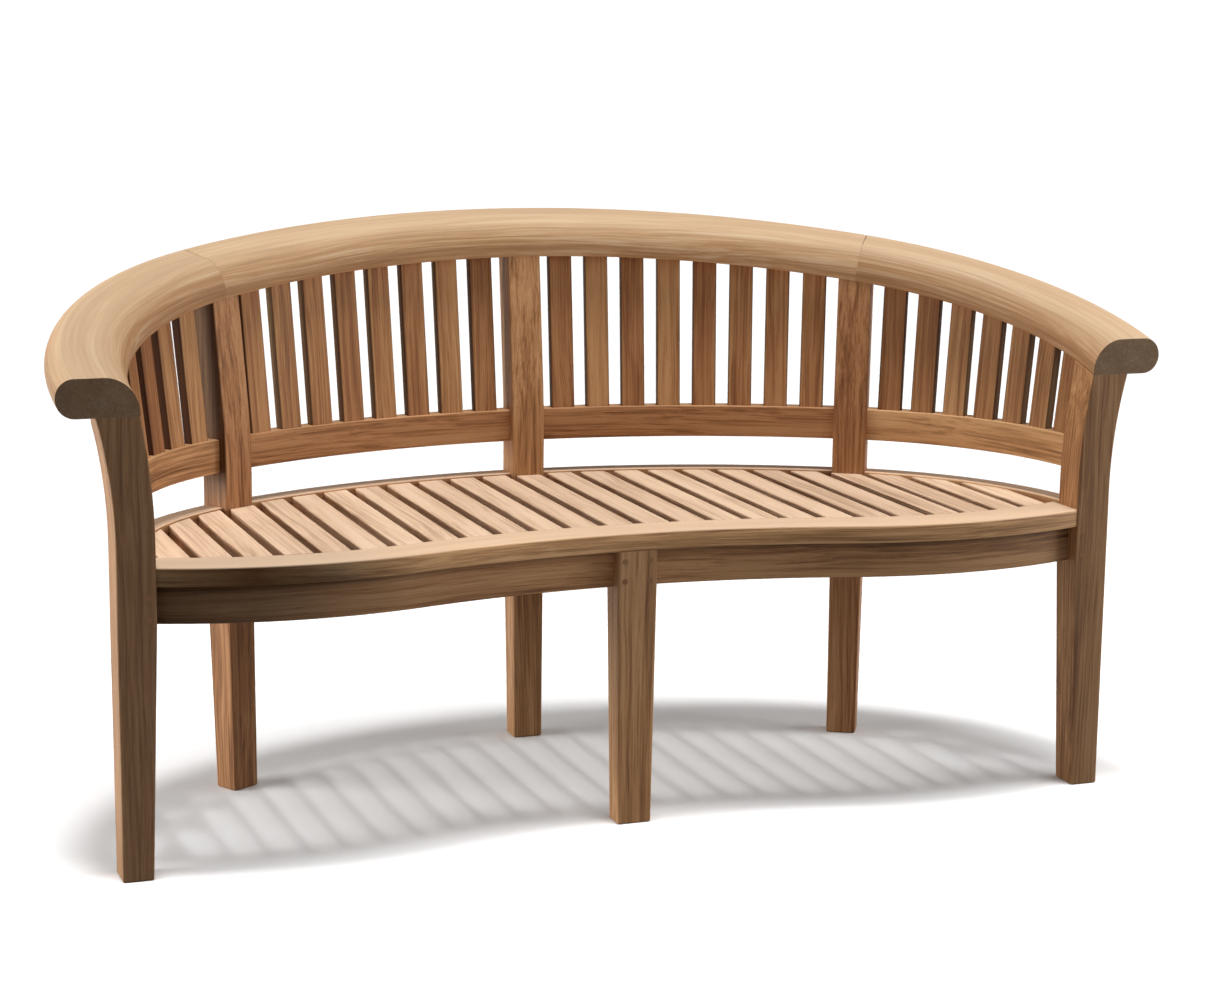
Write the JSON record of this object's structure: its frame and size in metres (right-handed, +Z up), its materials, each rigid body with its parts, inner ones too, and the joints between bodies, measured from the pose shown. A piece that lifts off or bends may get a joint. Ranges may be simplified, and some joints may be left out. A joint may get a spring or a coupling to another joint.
{
  "type": "curved garden bench",
  "caption": "Curved teak garden bench: a sloping crest rail sweeps round into the arms over a slatted back, with a wavy slatted seat on tapered legs.",
  "frame": {"origin": "on the floor, under the centre of the bench's bounding box", "axes": "+X along the bench's width, +Y to its back, so -Y faces the way a sitter looks, +Z up"},
  "size_m": [1.592, 0.6591, 0.8172],
  "materials": {
    "teak_crest": "sanded, unsealed",
    "teak_seat": "sanded, unsealed",
    "teak_slat": "sanded, unsealed",
    "teak_frame": "sanded, unsealed",
    "teak_peg": "end grain, sanded"
  },
  "bodies": {
    "root": {"arm_post_left": "teak_frame", "arm_post_right": "teak_frame", "back_post_centre": "teak_frame", "back_post_left": "teak_frame", "back_post_right": "teak_frame", "back_slats_left_arm": "teak_slat", "back_slats_left_back": "teak_slat", "back_slats_right_arm": "teak_slat", "back_slats_right_back": "teak_slat", "centre_stretcher": "teak_frame", "crest_rail_centre": "teak_crest", "crest_rail_left": "teak_crest", "crest_rail_right": "teak_crest", "front_apron_left": "teak_frame", "front_apron_right": "teak_frame", "front_bearer": "teak_frame", "front_board": "teak_seat", "front_leg": "teak_frame", "lower_rail_left_arm": "teak_frame", "lower_rail_left_back": "teak_frame", "lower_rail_right_arm": "teak_frame", "lower_rail_right_back": "teak_frame", "rear_apron_left_arm": "teak_frame", "rear_apron_left_back": "teak_frame", "rear_apron_right_arm": "teak_frame", "rear_apron_right_back": "teak_frame", "rear_bearer_back": "teak_frame", "rear_bearer_left_arm": "teak_frame", "rear_bearer_right_arm": "teak_frame", "rear_board_left_arm": "teak_seat", "rear_board_left_back": "teak_seat", "rear_board_right_arm": "teak_seat", "rear_board_right_back": "teak_seat", "seat_slat_01": "teak_seat", "seat_slat_02": "teak_seat", "seat_slat_03": "teak_seat", "seat_slat_04": "teak_seat", "seat_slat_05": "teak_seat", "seat_slat_06": "teak_seat", "seat_slat_07": "teak_seat", "seat_slat_08": "teak_seat", "seat_slat_09": "teak_seat", "seat_slat_10": "teak_seat", "seat_slat_11": "teak_seat", "seat_slat_12": "teak_seat", "seat_slat_13": "teak_seat", "seat_slat_14": "teak_seat", "seat_slat_15": "teak_seat", "seat_slat_16": "teak_seat", "seat_slat_17": "teak_seat", "seat_slat_18": "teak_seat", "seat_slat_19": "teak_seat", "seat_slat_20": "teak_seat", "seat_slat_21": "teak_seat", "seat_slat_22": "teak_seat", "seat_slat_23": "teak_seat", "seat_slat_24": "teak_seat", "seat_slat_25": "teak_seat", "tenon_pegs": "teak_peg"}
  },
  "joints": []
}
